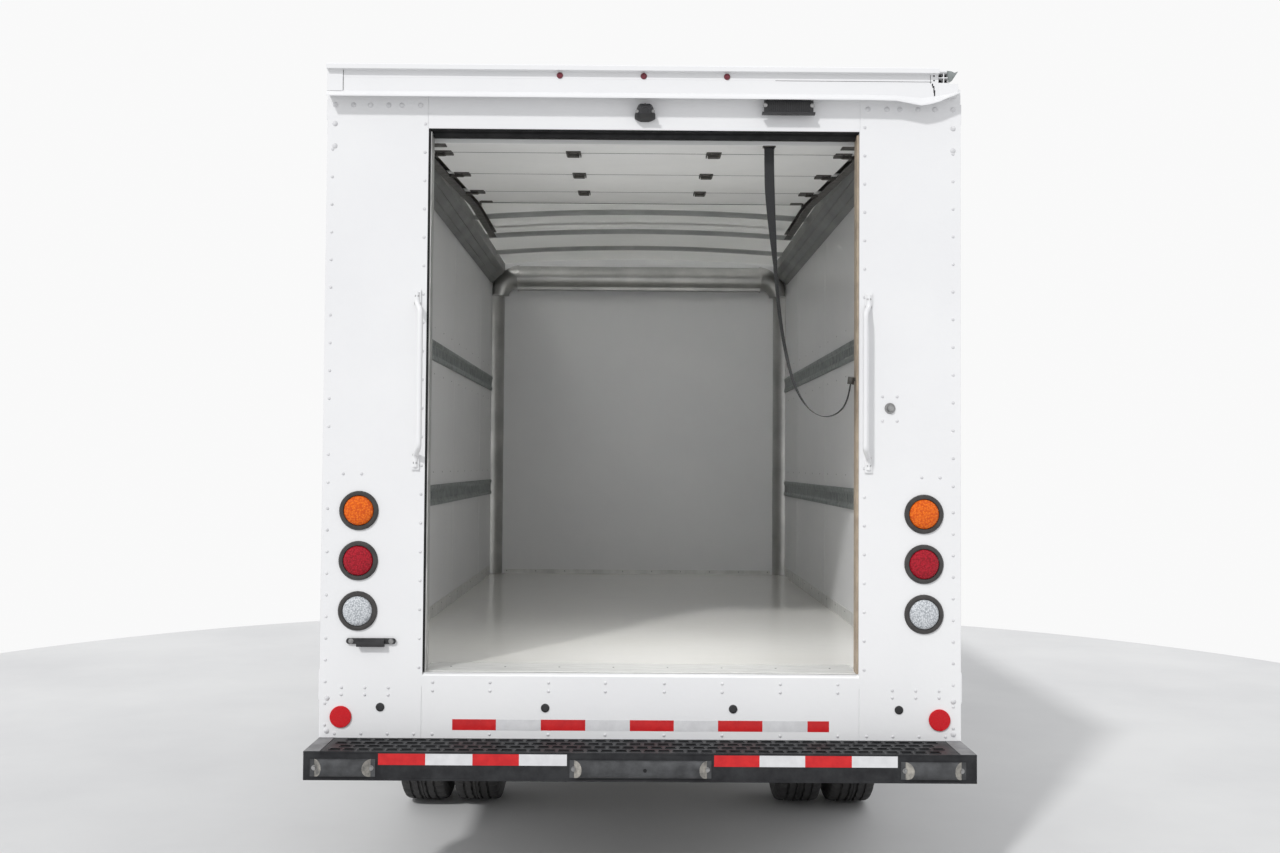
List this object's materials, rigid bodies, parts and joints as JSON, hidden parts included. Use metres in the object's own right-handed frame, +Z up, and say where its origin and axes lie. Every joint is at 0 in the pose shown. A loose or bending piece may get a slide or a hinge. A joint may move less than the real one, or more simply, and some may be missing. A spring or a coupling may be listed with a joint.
{
  "type": "box truck",
  "caption": "Box truck: tall white cargo box with an open roll-up rear door, step bumper, and a bonneted cab with hinged doors, hood and steered front wheels.",
  "frame": {"origin": "middle of the overall length and width, on the ground", "axes": "+Y forwards from the rear bumper to the front bumper, +X to the truck's right side, +Z up"},
  "size_m": [2.55, 7.126, 3.188],
  "materials": {
    "body_white": "gloss",
    "cab_white": "gloss",
    "liner_white": "satin",
    "deck_cream": "gloss",
    "cove_grey": "satin",
    "bow_grey": "satin",
    "galvanised": "dull",
    "bare_aluminium": "satin",
    "door_grey": "satin",
    "lamp_red": "gloss",
    "black_plastic": "matte",
    "bumper_black": "satin",
    "pad_rubber": "matte",
    "chassis_black": "satin",
    "axle_iron": "dull",
    "wheel_white": "satin",
    "tyre_rubber": "matte",
    "exhaust_steel": "dull",
    "window_glass": "clear",
    "lamp_clear": "gloss",
    "dash_grey": "matte",
    "seat_cloth": "matte",
    "strap_web": "matte"
  },
  "bodies": {
    "truck": {"side_walls": "liner_white", "cove_rails": "cove_grey", "front_wall": "liner_white", "corner_mouldings": "bare_aluminium", "roof_skin": "body_white", "roof_bows": "bow_grey", "box_floor": "deck_cream", "wall_tracks": "galvanised", "floor_trim": "bare_aluminium", "rear_frame": "body_white", "rear_sill": "body_white", "rear_rail": "body_white", "roll_up_door": "door_grey", "door_tracks": "galvanised", "rear_lamps": "lamp_red", "grab_handles": "bare_aluminium", "plate_bracket": "black_plastic", "camera_and_sensors": "black_plastic", "rear_bumper": "bumper_black", "bumper_step": "bumper_black", "dock_pads": "pad_rubber", "frame_rails": "chassis_black", "leaf_springs": "chassis_black", "rear_axle": "axle_iron", "front_axle": "axle_iron", "drive_shaft": "chassis_black", "engine_block": "axle_iron", "fuel_tank": "chassis_black", "exhaust": "exhaust_steel", "cab_frame": "cab_white", "cab_roof": "cab_white", "cab_floor": "dash_grey", "windshield": "window_glass", "fenders": "cab_white", "headlamps": "lamp_clear", "grille": "black_plastic", "front_bumper": "black_plastic", "dashboard": "dash_grey", "cab_seats": "seat_cloth", "steering_wheel": "dash_grey", "pull_strap": "strap_web"},
    "right_knuckle": {"right_knuckle": "axle_iron"},
    "left_knuckle": {"left_knuckle": "axle_iron"},
    "tie_rod": {"tie_rod": "axle_iron"},
    "front_right_wheel": {"front_right_wheel": "wheel_white", "front_right_tyre": "tyre_rubber"},
    "front_left_wheel": {"front_left_wheel": "wheel_white", "front_left_tyre": "tyre_rubber"},
    "rear_right_wheels": {"rear_right_wheels": "wheel_white", "rear_right_tyres": "tyre_rubber"},
    "rear_left_wheels": {"rear_left_wheels": "wheel_white", "rear_left_tyres": "tyre_rubber"},
    "right_door": {"right_door": "cab_white", "right_door_glass": "window_glass", "right_mirror": "black_plastic"},
    "left_door": {"left_door": "cab_white", "left_door_glass": "window_glass", "left_mirror": "black_plastic"},
    "hood": {"hood": "cab_white"}
  },
  "joints": [
    {"name": "steer_left", "type": "hinge", "parent": "truck", "child": "left_knuckle", "pos_m": [-0.742, 2.713, 0.372], "axis": [0, 0, 1], "range_deg": [-30, 30]},
    {"name": "steer_right", "type": "hinge", "parent": "truck", "child": "right_knuckle", "pos_m": [0.742, 2.713, 0.372], "axis": [0, 0, 1], "range_deg": [-30, 30]},
    {"name": "tie_rod_pivot", "type": "hinge", "parent": "left_knuckle", "child": "tie_rod", "pos_m": [-0.742, 2.548, 0.264], "axis": [0, 0, 1], "range_deg": [-30, 30]},
    {"name": "front_right_roll", "type": "hinge", "parent": "right_knuckle", "child": "front_right_wheel", "pos_m": [0.865, 2.713, 0.372], "axis": [1, 0, 0], "continuous": true},
    {"name": "front_left_roll", "type": "hinge", "parent": "left_knuckle", "child": "front_left_wheel", "pos_m": [-0.865, 2.713, 0.372], "axis": [1, 0, 0], "continuous": true},
    {"name": "rear_right_roll", "type": "hinge", "parent": "truck", "child": "rear_right_wheels", "pos_m": [0.905, -1.757, 0.372], "axis": [1, 0, 0], "continuous": true},
    {"name": "rear_left_roll", "type": "hinge", "parent": "truck", "child": "rear_left_wheels", "pos_m": [-0.905, -1.757, 0.372], "axis": [1, 0, 0], "continuous": true},
    {"name": "right_door_hinge", "type": "hinge", "parent": "truck", "child": "right_door", "pos_m": [1.018, 2.486, 1.14], "axis": [0, 0, 1], "range_deg": [0, 60]},
    {"name": "left_door_hinge", "type": "hinge", "parent": "truck", "child": "left_door", "pos_m": [-1.018, 2.486, 1.14], "axis": [0, 0, -1], "range_deg": [0, 60]},
    {"name": "hood_hinge", "type": "hinge", "parent": "truck", "child": "hood", "pos_m": [0, 2.746, 1.354], "axis": [1, 0, 0], "range_deg": [0, 50]}
  ],
  "couplings": [
    {"joint": "steer_right", "follows": "steer_left", "ratio": 1},
    {"joint": "tie_rod_pivot", "follows": "steer_left", "ratio": -1}
  ]
}
